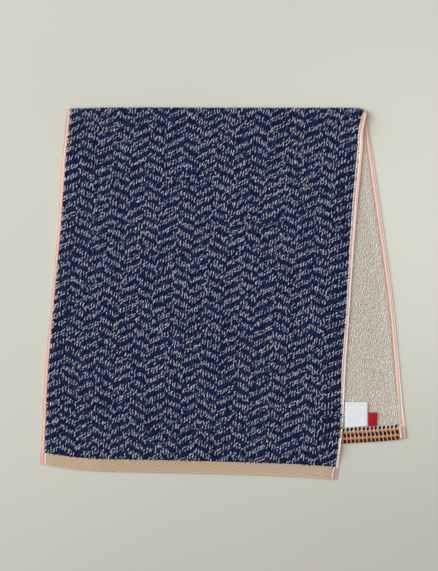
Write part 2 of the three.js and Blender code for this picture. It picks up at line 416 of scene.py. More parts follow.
def loop_pieces(name, loops, material, rings=3, sides=3, power=ARCH_POWER):
    """A joined mesh of yarn loops. For each loop, loops has s, t, face (1 patterned, -1 plain), length, wide,
    base and crown (heights from the middle of the cloth), lean, bow and tone."""
    reach = np.array([-1.0] + RING_REACH[rings] + [1.0])
    arch = 1 - np.abs(reach) ** power
    angle = np.radians(SECTION_FROM[sides] + 360 / sides * np.arange(sides))
    points = loop_points(loops, reach, arch, angle)
    count, per_loop = points.shape[:2]

    quads, caps, quad_uv, cap_uv = ringed_faces(rings, sides)
    faces = np.concatenate([quads[:, :3], quads[:, [0, 2, 3]], caps])
    uv = np.concatenate([quad_uv[:, :3], quad_uv[:, [0, 2, 3]], cap_uv])
    triangles = faces + (np.arange(count) * per_loop)[:, None, None]
    cells = math.ceil(math.sqrt(count))
    cell = np.stack([np.arange(count) % cells, np.arange(count) // cells], -1)[:, None, None]
    corner_uv = (cell + inset(uv, LOOP_CELL)) / cells

    lengthwise = np.append(np.repeat(np.arange(1, rings + 1), sides), [0, rings + 1]) / (rings + 1)
    around = np.append(np.tile(np.arange(sides) / sides, rings), [0, 0])
    # painted shade: the crown value falls from a loop's crown to its ends and lower sides, where the material
    # darkens it
    height = np.outer(arch[1:-1], mix(LOOP_SIDE_SHADE, 1.0, np.clip(np.sin(angle), 0, 1)))
    values = {
        "tone": np.repeat(loops["tone"], per_loop),
        "twist": np.tile(lengthwise * LOOP_TURNS + around, count),
        "crown": np.tile(np.append(height, [0, 0]), count),
    }
    return make_piece(name, points.reshape(-1, 3), [triangles.reshape(-1, 3)], material, corner_uv, values)


def joined(*groups):
    return {key: np.concatenate([group[key] for group in groups]) for key in groups[0]}


def yarn_loops(s, t, face, style):
    """Loops of one style at given places, with their natural unevenness."""
    count = len(s)

    def spread(middle, by):
        return middle + by * RANDOM.uniform(-1, 1, count)

    return {
        "s": s + spread(0, style["stray_s"]),
        "t": t + spread(0, style["stray_t"]),
        "face": np.full(count, float(face)),
        "length": spread(*style["length"]),
        "wide": spread(*style["wide"]),
        "base": np.full(count, GROUND_HALF),
        "crown": spread(*style["crown"]),
        "lean": np.radians(style["lean"][0] + style["lean"][1] * RANDOM.normal(0, 1, count)),
        "bow": style["bow"] * RANDOM.normal(0, 1, count),
        "tone": RANDOM.uniform(0, 1, count),
    }


# Long threads

TUBE_SIDES = 8
TUBE_TURN = 0.5  # twist of a thread from one ring to the next
TUBE_ROW = 0.1  # clear edge of its row of the UV map
RIB = 0.06  # share by which the weft swells and narrows it
TUBE_SIDE_SHADE = 0.6  # painted shade: how light a thread's sides are, against its top
TUBE_FLAT = 0.4  # power that squares a thread's section


def tube(path, side, up, half_wide, half_high, tone):
    """A closed ribbed thread along a path: points, what ringed_faces gives, and values at points."""
    count = len(path)
    rib = 1 + RIB * np.where(np.arange(count) % 2, -1.0, 1.0)
    angle = 2 * math.pi * (np.arange(TUBE_SIDES) + 0.5) / TUBE_SIDES
    wide = np.broadcast_to(half_wide, count) * (1 + rib) / 2
    high = np.broadcast_to(half_high, count) * rib
    level, rise = (np.sign(part) * np.abs(part) ** TUBE_FLAT for part in (np.cos(angle), np.sin(angle)))
    rings = rings_round(path, side, up, wide, high, level, rise)
    points = np.concatenate([rings.reshape(-1, 3), path[:1], path[-1:]])

    turns = TUBE_TURN * np.arange(count)[:, None] + np.arange(TUBE_SIDES) / TUBE_SIDES
    tones = np.broadcast_to(tone, count)
    # painted shade: a thread's crown value is lower on its sides, which darkens them towards its foot colour
    painted_side_shade = np.tile(mix(TUBE_SIDE_SHADE, 1.0, np.clip(rise, 0, 1)), count)
    values = {
        "twist": np.append(turns, [0, TUBE_TURN * count]),
        "tone": np.append(np.repeat(tones, TUBE_SIDES), tones[[0, -1]]),
        "crown": np.append(painted_side_shade, [TUBE_SIDE_SHADE, TUBE_SIDE_SHADE]),
    }
    return points, *ringed_faces(count, TUBE_SIDES), values


def tube_piece(name, tubes, material):
    """A joined mesh of threads, each with its own row of the UV map."""
    points, quads, caps, quad_uv, cap_uv, values = zip(*tubes)
    starts = np.concatenate([[0], np.cumsum([len(each) for each in points])[:-1]])

    def faces_of(kind):
        return np.concatenate([faces + start for faces, start in zip(kind, starts)])

    def rows_of(kind):
        rows = []
        for k, uv in enumerate(kind):
            along, across = uv.reshape(-1, 2).T
            rows.append(np.stack([inset(along, UV_MARGIN), (k + inset(across, TUBE_ROW)) / len(tubes)], -1))
        return rows

    uv = np.concatenate(rows_of(quad_uv) + rows_of(cap_uv))
    groups = [faces_of(quads), faces_of(caps)]
    return make_piece(name, np.concatenate(points), groups, material, uv, joined(*values))


# The zigzag of the patterned face

REPEAT = 11.26  # of the zigzag along the cloth
BAND_SLOPE = 0.455  # how fast a band climbs across the cloth
COLUMN_PITCH = 3.07  # of the columns that carry light loops
HERRINGBONE = [5, 6, 6, 7, 6, 6, 7, 6, 6, 7, 6, 6, 7, 6, 7, 6, 8]  # loop columns in each run of the zigzag
HERRINGBONE_FROM = 4.0
FIRST_BAND = -4.4  # a light band in the first run, from the fold
WEFT_DRIFT = [(0, 0), (0.07, 1.6), (0.65, 1.7), (0.8, 4.2), (0.9, 7.0), (1, 7.8)]  # by share of the width
WEFT_TILT = (0.09, -5.64, -2.98)  # in mm, by powers of the place across the cloth
WEFT_BEND = (5.06, 1.76, -3.68)  # the same, for the square of the place along it
WEFT_LIMIT = 1.1
HALF_LAYER = 206.0  # the middle of a layer, from the fold
PILE_FROM = 6.3  # first column of loops from the selvedge's outer edge
FINE = {"column_pitch": COLUMN_PITCH, "rows": 4, "row_from": 0.5}  # rows to a repeat, and their start
COARSE = {"column_pitch": 5.4, "rows": 3, "row_from": 0.0}  # where the pile lies on the table
SPARE_ROWS = 8  # as the weft's bow moves rows in
LIGHT_SHARE = [(0, 0.98), (0.125, 0.95), (0.25, 0.6), (0.375, 0.12), (0.5, 0.02)]  # by share of a repeat
BETWEEN_LIGHT = 0.2  # share of the light loops that the columns between have
BETWEEN_TONE = 0.45  # and how light they are
EVEN_STEPS = (0.7549, 0.5698)  # of the light loops' even spread, by column and by row
UNEVEN = 0.35  # how much chance there is in it
TONE_TURNS = 3.0  # how often their tones run through it
EDGE_FADE = 24.0  # how far in the pile is drawn towards a selvedge
LEFT_REACH = [(0, 1.0), (0.02, 1.0), (0.125, 1.3), (0.27, 2.1), (0.41, 1.3), (0.5, 1.0), (0.56, 0), (1, 0)]
RIGHT_REACH = [(0, 2.5), (0.045, 2.5), (0.075, 5.0), (0.148, 1.4), (0.247, 2.9), (0.346, 1.8), (0.43, 2.0),
               (0.465, 1.75), (0.49, 0.3), (0.56, 0), (1, 0)]
JAG = 0.9  # how much further out dark bands reach on the left
TOOTH_FROM = 0.3  # on the right the middle of each dark band is a tooth
TOOTH_OUT = 0.3
GAP_IN = 0.6
RAGGED = 0.2  # how uneven the teeth are
JAG_FADE = 5.0  # how far in they go
EDGE_LONGER = 1.0  # of the white loops along the left selvedge
RUN_LEAN = 5  # degrees more in runs that climb to the right, and less in the others

# Styles of loops: sizes and lean in degrees, each with its spread, and how far loops bow and stray

PILE_LOOP = dict(length=(3.3, 0.7), wide=(1.5, 0.3), crown=(1.45, 0.25), lean=(20, 21), bow=0.25,
                 stray_s=0.45, stray_t=0.8)
LIGHT_LOOP = dict(PILE_LOOP, length=(4.6, 0.8), wide=(1.4, 0.3), crown=(1.65, 0.25), lean=(22, 19),
                  stray_t=0.9)
COARSE_LOOP = dict(PILE_LOOP, length=(4.9, 0.6), wide=(2.1, 0.3), crown=(1.25, 0.15))
PLAIN_LOOP = dict(PILE_LOOP, length=(4.7, 0.9), wide=(1.3, 0.2), crown=(1.5, 0.15), lean=(4, 11), bow=0.35,
                  stray_s=0.3, stray_t=1.0)
DASH_LOOP = dict(crown=(1.0, 0.08), bow=0.0, stray_s=0.15, stray_t=0.15)


def weft_bow(s, from_fold):
    """How far the weft is drawn out of line, as the laid cloth shows."""
    across = s / CLOTH_WIDE - 0.5
    along = np.clip(from_fold / HALF_LAYER - 1, -WEFT_LIMIT, WEFT_LIMIT)
    tilt, bend = (row[0] + row[1] * across + row[2] * across**2 for row in (WEFT_TILT, WEFT_BEND))
    return tilt * along + bend * along**2


def herringbone():
    """The runs of the zigzag: their edges, and a light band's place from the fold in the middle of each. They
    climb and fall in turn, each half a repeat out of step with the next."""
    edges = HERRINGBONE_FROM + COLUMN_PITCH * np.concatenate([[0], np.cumsum(HERRINGBONE)])
    rises = BAND_SLOPE * np.diff(edges) / 2 * np.where(np.arange(len(HERRINGBONE)) % 2, 1, -1)
    places = [FIRST_BAND]
    for before, after in zip(rises, rises[1:]):
        places.append((places[-1] + before + REPEAT / 2 + after) % REPEAT)
    return edges, np.array(places) + curve(WEFT_DRIFT, midway(edges) / CLOTH_WIDE)


def zigzag_places(low, high, column_from, column_pitch, rows, row_from):
    """Places of pattern loops between two distances from the fold: s, from_fold, how far from the middle of a
    light band as a share of the repeat, 1 in runs that climb to the right or -1 in the others, and numbers
    spread evenly from 0 to 1 in which neighbours differ."""
    columns = np.arange(column_from, CLOTH_WIDE - PILE_FROM, column_pitch)
    edges, places = herringbone()
    k = np.clip(np.searchsorted(edges, columns) - 1, 0, len(places) - 1)
    middle = midway(edges)[k]
    slope = np.where(k % 2, BAND_SLOPE, -BAND_SLOPE)
    band = places[k] + slope * (columns - middle)
    pitch = REPEAT / rows
    j = np.arange(math.floor(low / pitch) - SPARE_ROWS, math.ceil(high / pitch) + SPARE_ROWS)
    nominal = band[:, None] + pitch * (j + row_from)
    bowed = nominal + weft_bow(middle[:, None], nominal)
    from_fold = nominal + weft_bow(middle[:, None], bowed)
    off_band = np.abs((j + row_from + rows / 2) % rows - rows / 2) / rows
    keep = (from_fold > low) & (from_fold < high)
    evenly = (EVEN_STEPS[0] * np.arange(len(columns))[:, None] + EVEN_STEPS[1] * j) % 1
    each = (columns[:, None], from_fold, off_band, -np.sign(slope)[:, None], evenly)
    return [np.broadcast_to(value, keep.shape)[keep] for value in each]


def reach_out(s, t, off_band):
    """The pile's outer loops drawn out over the selvedges, in teeth."""
    share = t / CLOTH_LONG
    ragged = RAGGED * RANDOM.uniform(-1, 1, len(s))
    left_teeth = JAG * (4 * off_band - 1) + ragged
    right_teeth = np.where(off_band > TOOTH_FROM, TOOTH_OUT, -GAP_IN) + ragged
    sides = ((-1, s, LEFT_REACH, left_teeth), (1, CLOTH_WIDE - s, RIGHT_REACH, right_teeth))
    for sign, from_edge, reach, teeth in sides:
        drawn = curve(reach, share) * (1 - smooth(from_edge, PILE_FROM, PILE_FROM + EDGE_FADE))
        s = s + sign * (drawn + teeth * (1 - smooth(from_edge, PILE_FROM, PILE_FROM + JAG_FADE)))
    return s


def pattern_loops(low, high, lattice, navy_style, light_style):
    """Loops of the patterned face between two distances from the fold: navy ones of the columns that carry
    light loops, navy ones of the columns between, and the light ones."""
    navy, pale = [], []
    between = PILE_FROM + lattice["column_pitch"] / 2
    for start, share, tone in ((PILE_FROM, 1.0, 1.0), (between, BETWEEN_LIGHT, BETWEEN_TONE)):
        s, from_fold, off_band, climb, evenly = zigzag_places(low, high, start, **lattice)
        t = UPPER_LONG - from_fold
        outermost = s <= PILE_FROM
        s = reach_out(s, t, off_band)
        chance = (evenly + UNEVEN * RANDOM.uniform(-0.5, 0.5, len(s))) % 1
        light = chance < share * curve(LIGHT_SHARE, off_band)
        dark_loops = yarn_loops(s[~light], t[~light], 1, navy_style)
        loops = yarn_loops(s[light], t[light], 1, light_style)
        dark_loops["lean"] += np.radians(RUN_LEAN) * climb[~light]
        loops["lean"] += np.radians(RUN_LEAN) * climb[light]
        loops["tone"] = (TONE_TURNS * evenly[light] + UNEVEN * loops["tone"]) % 1
        loops["tone"] *= tone * (1 - off_band[light])
        loops["tone"][outermost[light]] = 1.0
        loops["length"][outermost[light]] += EDGE_LONGER
        navy.append(dark_loops)
        pale.append(loops)
    return *navy, joined(*pale)


# Materials

def color(red, green, blue):
    """Scene colour of an 8-bit sRGB colour."""
    share = np.array([red, green, blue]) / 255
    linear = np.where(share <= 0.04045, share / 12.92, ((share + 0.055) / 1.055) ** 2.4)
    return (*linear.tolist(), 1.0)


class Nodes:
    """A material's node tree, with a short way to add and link nodes."""

    def __init__(self, name, roughness, sheen, specular=0.1, tint=(1, 1, 1, 1)):
        self.material = bpy.data.materials.new(name)
        self.material.use_nodes = True
        self.tree = self.material.node_tree
        self.shader = self.tree.nodes["Principled BSDF"]
        settings = {"Roughness": roughness, "Sheen Weight": sheen, "Sheen Roughness": 0.5, "Sheen Tint": tint,
                    "Specular IOR Level": specular}
        for key, value in settings.items():
            self.shader.inputs[key].default_value = value
        self.place = self.add("TexCoord").outputs["Object"]

    def add(self, kind, settings=None, *values, **inputs):
        """A node with settings, and with values for its inputs in their order or by their names."""
        node = self.tree.nodes.new("ShaderNode" + kind)
        for key, value in (settings or {}).items():
            setattr(node, key, value)
        for key, value in (*enumerate(values), *inputs.items()):
            self.put(node.inputs[key], value)
        return node

    def put(self, socket, value):
        if isinstance(value, bpy.types.NodeSocket):
            self.tree.links.new(value, socket)
        else:
            socket.default_value = value

    def attribute(self, name):
        return self.add("Attribute", {"attribute_name": name}).outputs

    def noise(self, scale, detail=2.0):
        return self.add("TexNoise", Vector=self.place, Scale=scale, Detail=detail).outputs["Fac"]

    def weave(self, *bands):
        """Crossing threads, given the scale and distortion of those across X and of those across Y."""
        waves = []
        for axis, (scale, distortion) in zip("XY", bands):
            wave = self.add("TexWave", {"bands_direction": axis}, Vector=self.place, Scale=scale, Detail=1.0)
            wave.inputs["Distortion"].default_value = distortion
            waves.append(wave.outputs["Fac"])
        return self.math("MULTIPLY", *waves)

    def math(self, operation, *values):
        return self.add("Math", {"operation": operation}, *values).outputs[0]

    def weighted(self, *parts):
        """The sum of values, each times its share."""
        total = 0.0
        for value, share in parts:
            total = self.math("MULTIPLY_ADD", value, share, total)
        return total

    def ramp(self, share, stops):
        node = self.add("ValToRGB", Fac=share)
        band = node.color_ramp
        while len(band.elements) < len(stops):
            band.elements.new(0.5)
        for element, (at, shade) in zip(band.elements, stops):
            element.position = at
            element.color = shade
        return node.outputs["Color"]

    def smooth_range(self, value, bounds):
        """A value's place between two bounds, eased between two results."""
        return self.add("MapRange", {"interpolation_type": "SMOOTHSTEP"}, value, *bounds).outputs["Result"]

    def blend(self, share, a, b, mode="MIX"):
        return self.add("MixRGB", {"blend_type": mode}, share, a, b).outputs[0]

    def base(self, value):
        self.put(self.shader.inputs["Base Color"], value)

    def bump(self, height, strength, distance):
        node = self.add("Bump", Strength=strength, Distance=distance, Height=height)
        self.put(self.shader.inputs["Normal"], node.outputs["Normal"])


OWN_TONE = 0.7  # shares of a thread's own tone, of fibre mottling and of soft clouds in its shade
MOTTLE_TONE = 0.3
CLOUD_TONE = 0.1
WARMTH_RANGE = (0.36, 0.64)
PLIES = 2
PLY_RELIEF = 0.5  # of the twist's ridges, against the fuzz


def yarn_material(name, shades, foot_shade, at=(0.1, 0.5, 0.95), sheen=0.12, specular=0.08, tints=None):
    """Spun yarn: each thread has its own tone, painted shade at its foot and sides, soft fibre mottling
    and a twist that shows as fine ridges. Some yarn is cooler in places and warmer in others."""
    stops = [(tone, color(*shade)) for tone, shade in zip(at, shades)]
    nodes = Nodes(name, roughness=0.95, sheen=sheen, specular=specular, tint=stops[-1][1])
    shade = nodes.ramp(nodes.weighted(
        (nodes.attribute("tone")["Fac"], OWN_TONE),
        (nodes.noise(scale=420.0, detail=3.0), MOTTLE_TONE),
        (nodes.noise(scale=28.0), CLOUD_TONE),
    ), stops)
    if tints:
        warmth = nodes.ramp(nodes.noise(scale=330.0, detail=1.0), list(zip(WARMTH_RANGE, tints)))
        shade = nodes.blend(1.0, shade, warmth, "MULTIPLY")
    # painted shade: the crown value blends each thread from its foot colour, where shade falls, to its own
    # colour
    nodes.base(nodes.blend(nodes.attribute("crown")["Fac"], color(*foot_shade), shade))
    turn = nodes.math("MULTIPLY", nodes.attribute("twist")["Fac"], PLIES * 2 * math.pi)
    relief = nodes.weighted((nodes.math("SINE", turn), PLY_RELIEF), (nodes.noise(scale=2600.0), 1.0))
    nodes.bump(relief, strength=0.35, distance=0.00025)
    return nodes.material


WEAVE_DISTORTION = 0.6


def woven_material(name, scale, contrast):
    """Flat weave in the colour that its faces carry, with fine crossing threads."""
    nodes = Nodes(name, roughness=0.9, sheen=0.2)
    threads = nodes.weave((scale, WEAVE_DISTORTION), (scale, WEAVE_DISTORTION))
    mottle = nodes.weighted((threads, 0.5), (nodes.noise(scale=300.0), 0.5))
    shade = nodes.ramp(mottle, [(0.1, (1 - contrast,) * 3 + (1,)), (0.8, (1, 1, 1, 1))])
    nodes.base(nodes.blend(1.0, nodes.attribute("tint")["Color"], shade, "MULTIPLY"))
    nodes.bump(threads, strength=0.4, distance=0.0002)
    return nodes.material


NAVY = yarn_material(
    "pile_navy", foot_shade=(12, 17, 45), sheen=0.3, specular=0.03,
    shades=[(14, 20, 60), (35, 46, 104), (78, 90, 148)],
)
# Light loops; the bluish grey low end of their shades is partly painted shade, of loops deep among the navy
LIGHT = yarn_material(
    "pile_light", foot_shade=(38, 47, 86), tints=(color(238, 244, 255), color(255, 249, 228)),
    shades=[(98, 109, 138), (195, 203, 217), (254, 255, 255)], at=(0.1, 0.42, 0.84),
)
PLAIN = yarn_material(
    "pile_plain", foot_shade=(198, 189, 174), tints=(color(245, 248, 255), color(255, 252, 243)),
    shades=[(226, 220, 208), (250, 246, 236), (255, 255, 251)],
)
CORAL = yarn_material(
    "edge_coral", foot_shade=(205, 152, 130),
    shades=[(208, 132, 82), (195, 143, 120), (224, 179, 157), (242, 188, 158)], at=(0.0, 0.12, 0.5, 0.95),
)
WHITE = yarn_material(
    "edge_white", foot_shade=(226, 206, 198),
    shades=[(178, 163, 150), (214, 190, 184), (234, 217, 210), (254, 252, 250)], at=(0.0, 0.1, 0.5, 0.95),
)
ORANGE = yarn_material(
    "border_orange", foot_shade=(180, 112, 64),
    shades=[(192, 122, 70), (224, 154, 96), (244, 182, 122)],
)
INK = yarn_material(
    "border_navy", foot_shade=(22, 18, 28), sheen=0.1, specular=0.05,
    shades=[(24, 22, 36), (34, 31, 50), (50, 46, 68)],
)
GROUND = woven_material("ground_weave", scale=125.0, contrast=0.3)
HEM_WEAVE = woven_material("hem_weave", scale=142.857, contrast=0.14)
NAVY_GROUND = color(14, 19, 48)
PLAIN_GROUND = color(206, 195, 180)
# painted light: the plain face's ground beside the selvedges, lighter against the shade there
PLAIN_GROUND_PAINTED_LIGHT = color(221, 210, 194)
HEM_TAN = color(200, 176, 148)
# painted light: the hem's rim, lighter against the shade on it
HEM_RIM_PAINTED_LIGHT = color(224, 202, 174)
EDGE_GROUND = color(225, 190, 175)


# Ground cloth

EDGE_HALF = 0.2  # half the ground's thickness at the selvedges
STRIPED_TO = 3.0  # the ground under the pile is of the pile's colour from here in
PAINTED_LIGHT_TO = 13.0  # on the plain face it is painted lighter up to here, against the shade beside the selvedges
GROUND_SIDE = 0.4  # it stops this far from the selvedges' edges
GROUND_END = 0.6  # and from the hems' ends
NEAR_FOLD = 12.0  # its grid is closer from here to the fold


def make_ground():
    edge = SELVEDGE_WIDE + PILE_SLOPE
    s_lines = steps(
        (GROUND_SIDE, 0), (STRIPED_TO, 3), (SELVEDGE_WIDE, 3), (edge, 2), (CLOTH_WIDE - edge, 6),
        (CLOTH_WIDE - SELVEDGE_WIDE, 2), (CLOTH_WIDE - STRIPED_TO, 3), (CLOTH_WIDE - GROUND_SIDE, 3),
    )
    lower_pile = CLOTH_LONG - LOWER_HEM
    t_lines = steps(
        (GROUND_END, 0), (UPPER_HEM, 7), (UPPER_HEM + PILE_SLOPE, 2), (UPPER_LONG - NEAR_FOLD, 6),
        (UPPER_LONG, 3), (LOWER_FROM, 0.8), (lower_pile - PILE_SLOPE, 6), (lower_pile, 2),
        (CLOTH_LONG - GROUND_END, 7),
    )

    def height(s, t):
        return mix(EDGE_HALF, GROUND_HALF, smooth(np.minimum(s, CLOTH_WIDE - s), SELVEDGE_WIDE, edge))

    def shades(s, t):
        from_edge = np.minimum(s, CLOTH_WIDE - s)
        for pile, beside_edge in ((NAVY_GROUND, NAVY_GROUND), (PLAIN_GROUND, PLAIN_GROUND_PAINTED_LIGHT)):
            zone = np.tile(pile, s.shape + (1,))
            # on the plain face, painted light beside the selvedges
            zone[from_edge < PAINTED_LIGHT_TO] = beside_edge
            zone[(t < UPPER_HEM) | (t > lower_pile)] = HEM_TAN
            zone[from_edge < STRIPED_TO] = EDGE_GROUND
            yield zone.reshape(-1, 4)

    return sheet_piece("towel_ground", s_lines, t_lines, height, GROUND, shades, EDGE_GROUND)


ground = make_ground()

# Pile of the patterned face

PILE_TOP_HEM = 14.4  # where the pile begins, from the upper hem's end
PILE_LOW_HEM = 18.0  # and from the lower hem's end
FINE_TO = -6.0  # the close loops end this far round the fold


def make_front_pile():
    pile_end = UPPER_LONG - PILE_TOP_HEM
    navy, between, pale = pattern_loops(FINE_TO, pile_end, FINE, PILE_LOOP, LIGHT_LOOP)
    pieces = [
        loop_pieces("pile_navy", navy, NAVY),
        loop_pieces("pile_navy_between", between, NAVY, rings=2),
        loop_pieces("pile_light", pale, LIGHT),
    ]
    under_end = -(BEND_LONG + LOWER_LONG - PILE_LOW_HEM)
    navy, between, pale = pattern_loops(under_end, FINE_TO, COARSE, COARSE_LOOP, COARSE_LOOP)
    pieces.append(loop_pieces("pile_under_navy", joined(navy, between), NAVY, rings=2))
    pieces.append(loop_pieces("pile_under_light", pale, LIGHT, rings=2))
    return pieces


# Pile of the plain face

PLAIN_PITCH = (COLUMN_PITCH / 2, 3.3)
UNDER_PITCH = (2.6, 4.4)
PLAIN_STEP = 0.382  # of a row's pitch, from one column to the next
PLAIN_PAST = 0.5  # the last column may be this much nearer to the selvedge
PLAIN_ROUND = 2.0  # how far the plain pile goes on round the fold
EDGE_PAINTED_LIGHT = 0.45  # painted light: how much lighter the plain pile is beside the selvedge that shows, against the shade there
EDGE_PAINTED_LIGHT_RUN = 12.0
HIDDEN_MARGIN = 14.0  # how far it goes on where the other layer hides it


def plain_places(t_low, t_high, other, pitch):
    """A close lattice on the plain face of one layer, where the other layer doesn't hide it."""
    columns = np.arange(PILE_FROM, CLOTH_WIDE - PILE_FROM + PLAIN_PAST, pitch[0])
    rows = np.arange(t_low, t_high, pitch[1])
    s, t = np.meshgrid(columns, rows)
    t = t + pitch[1] * ((PLAIN_STEP * np.arange(len(columns))) % 1)
    s, t = s.ravel(), t.ravel()
    x, y, _ = uncentred(s, t).T
    seen = (distance_past(other, x, y) > -HIDDEN_MARGIN) & (t < t_high)
    return s[seen], t[seen]


def make_plain_pile():
    low_end = CLOTH_LONG - PILE_LOW_HEM
    places = plain_places(LOWER_FROM - PLAIN_ROUND, low_end, UPPER_OUTLINE, PLAIN_PITCH)
    lower = yarn_loops(*places, -1, PLAIN_LOOP)
    from_edge = CLOTH_WIDE - lower["s"]
    # painted light on the plain pile beside the right selvedge
    lower["tone"] += EDGE_PAINTED_LIGHT * (1 - smooth(from_edge, SELVEDGE_WIDE, SELVEDGE_WIDE + EDGE_PAINTED_LIGHT_RUN))
    places = plain_places(PILE_TOP_HEM, UPPER_LONG, LOWER_OUTLINE, UNDER_PITCH)
    upper = yarn_loops(*places, -1, COARSE_LOOP)
    return [
        loop_pieces("pile_plain", lower, PLAIN),
        loop_pieces("pile_plain_under", upper, PLAIN, rings=2),
    ]


# Hems

HEM_SIDE = 5.9  # where the selvedge's stripes begin
HEM_IN = 1.0  # how far a hem goes on under the pile
HEM_ROUND_IN = 1.2  # and where its rounded edge would end
TWILL_GRID = (440, 20)
TWILL_PITCH = 4.45  # of the ribs across the upper hem
TWILL_PEAK = 22.0  # the first peak of the ribs from the left
TWILL_REPEAT = 45.3
TWILL_RISE = 0.4
TWILL_FADE = (0.3, 1.5)  # where they fade out, from the hem's edges
TWILL_VALLEY_SHADE = 0.74  # painted shade between the ribs, in their valleys
TWILL_OUT = 0.1  # how far the hem's end is past the plan's
HEM_RIM = 0.5  # half its thickness there
HEM_ROUND = 1.8
RIM_PAINTED_LIGHT = 0.3  # painted light: how much lighter its edge is, against the shade on it


def twill(s, t):
    """Height of the herringbone ribs, from 0 to 1."""
    from_peak = np.abs((s - TWILL_PEAK + TWILL_REPEAT / 2) % TWILL_REPEAT - TWILL_REPEAT / 2)
    return 0.5 + 0.5 * np.cos(2 * math.pi * (from_peak + t) / TWILL_PITCH)


def make_twill_hem():
    def height(s, t):
        edge = np.minimum(t + TWILL_OUT, UPPER_HEM + HEM_ROUND_IN - t)
        ribs = TWILL_RISE * (1 - twill(s, t)) * smooth(edge, *TWILL_FADE)
        return mix(HEM_RIM, HEM_THICK / 2, smooth(edge, 0, HEM_ROUND)) - ribs

    def shades(s, t):
        # painted shade in the ribs' valleys, and painted light along the hem's end
        share = mix(TWILL_VALLEY_SHADE, 1, twill(s, t)) + RIM_PAINTED_LIGHT * (1 - smooth(t, 0, HEM_ROUND))
        return [np.outer(share, HEM_TAN)] * 2

    s_lines = np.linspace(HEM_SIDE, CLOTH_WIDE - HEM_SIDE, TWILL_GRID[0])
    t_lines = np.linspace(-TWILL_OUT, UPPER_HEM + HEM_IN, TWILL_GRID[1])
    return sheet_piece("hem_twill", s_lines, t_lines, height, HEM_WEAVE, shades, HEM_RIM_PAINTED_LIGHT)


BORDER_SIDE = 7.5  # where the stripes begin at the lower hem's right
BORDER_ROWS = [  # of the lower hem, from its end: how far it goes, and its colour
    (4.7, color(200, 140, 88)),
    (11.8, color(200, 164, 138)),
    (18.2, color(204, 192, 176)),
]
BORDER_OUT = 0.5  # how far the border's end is past the plan's
BORDER_RIM = 0.4  # half its thickness there
BORDER_HALF = 0.75  # and further in
BORDER_ROUND = 1.0  # than this
BORDER_STEP = 2.2
BORDER_COLUMNS = 90


def make_border():
    def height(s, t):
        edge = np.minimum(CLOTH_LONG + BORDER_OUT - t, t - CLOTH_LONG + LOWER_HEM + HEM_ROUND_IN)
        return mix(BORDER_RIM, BORDER_HALF, smooth(edge, 0, BORDER_ROUND))

    def shades(s, t):
        return [np.array(colors)[np.searchsorted(ends, CLOTH_LONG - t.ravel())]] * 2

    ends, colors = zip(*BORDER_ROWS)
    from_end = steps(*[(mark, BORDER_STEP) for mark in (-BORDER_OUT, *ends[:-1], LOWER_HEM + HEM_IN)])
    s_lines = np.linspace(HEM_SIDE, CLOTH_WIDE - BORDER_SIDE, BORDER_COLUMNS)
    t_lines = (CLOTH_LONG - from_end)[::-1]
    return sheet_piece("hem_border", s_lines, t_lines, height, HEM_WEAVE, shades, colors[0])


DASH_PITCH = 4.5
DASH_FROM = 2.0  # first dash, from the selvedge's stripes
DASH_TO = 1.0  # nearest that the last one comes to them
DASHES = [  # from the hem's end: middle, length, width, lean in degrees and bow
    (1.6, 4.5, 3.4, -4, 0.15),
    (8.3, 5.6, 3.5, -4, 0.6),
    (15.1, 4.6, 2.8, 25, 0.1),
]
DASH_UP = 0.3  # how much higher dashes begin than loops


def make_dashes():
    groups = []
    s = np.arange(HEM_SIDE + DASH_FROM, CLOTH_WIDE - BORDER_SIDE - DASH_TO, DASH_PITCH)
    for middle, length, wide, lean, bow in DASHES:
        style = dict(DASH_LOOP, length=(length, 0.25), wide=(wide, 0.15), lean=(lean, 4))
        for face in (1, -1):
            dashes = yarn_loops(s, np.full(len(s), CLOTH_LONG - middle), face, style)
            dashes["lean"] *= face
            dashes["bow"] += bow
            dashes["base"] += DASH_UP
            groups.append(dashes)
    return loop_pieces("border_dashes", joined(*groups), INK, rings=4, sides=6, power=BLUNT_POWER)


CORDS = [4.8, 11.9]  # orange threads, from the hem's end
CORD_POINTS = 560
CORD_HALF = (1.0, 0.42)
CORD_UP = 0.66
CORD_WAVE = 0.45  # how far the dashes push them to and fro
CORD_TONE = 0.2
CORD_SHADE = 0.35  # how much darker they are beside a dash
CORD_UNEVEN = 0.2


def make_cords():
    tubes = []
    s = np.linspace(HEM_SIDE, CLOTH_WIDE - BORDER_SIDE, CORD_POINTS)
    turn = 2 * math.pi * (s - HEM_SIDE - DASH_FROM) / DASH_PITCH
    for from_end in CORDS:
        for face in (1, -1):
            here, _, along, up = cloth_frame(s, CLOTH_LONG - from_end + CORD_WAVE * np.sin(turn + face))
            tone = CORD_TONE - CORD_SHADE * np.cos(turn) + RANDOM.uniform(-CORD_UNEVEN, CORD_UNEVEN, len(s))
            tubes.append(tube(here + up * face * CORD_UP, along, up, *CORD_HALF, tone))
    return tube_piece("border_cords", tubes, ORANGE)


# Selvedges

STRIPES = ["white", "coral", "white", "coral", "white"]  # from outside in
STRIPE_LIFTS = [0, 0, 0, 0, 0.8]  # how much more the inner stripe stands up, beside the pile
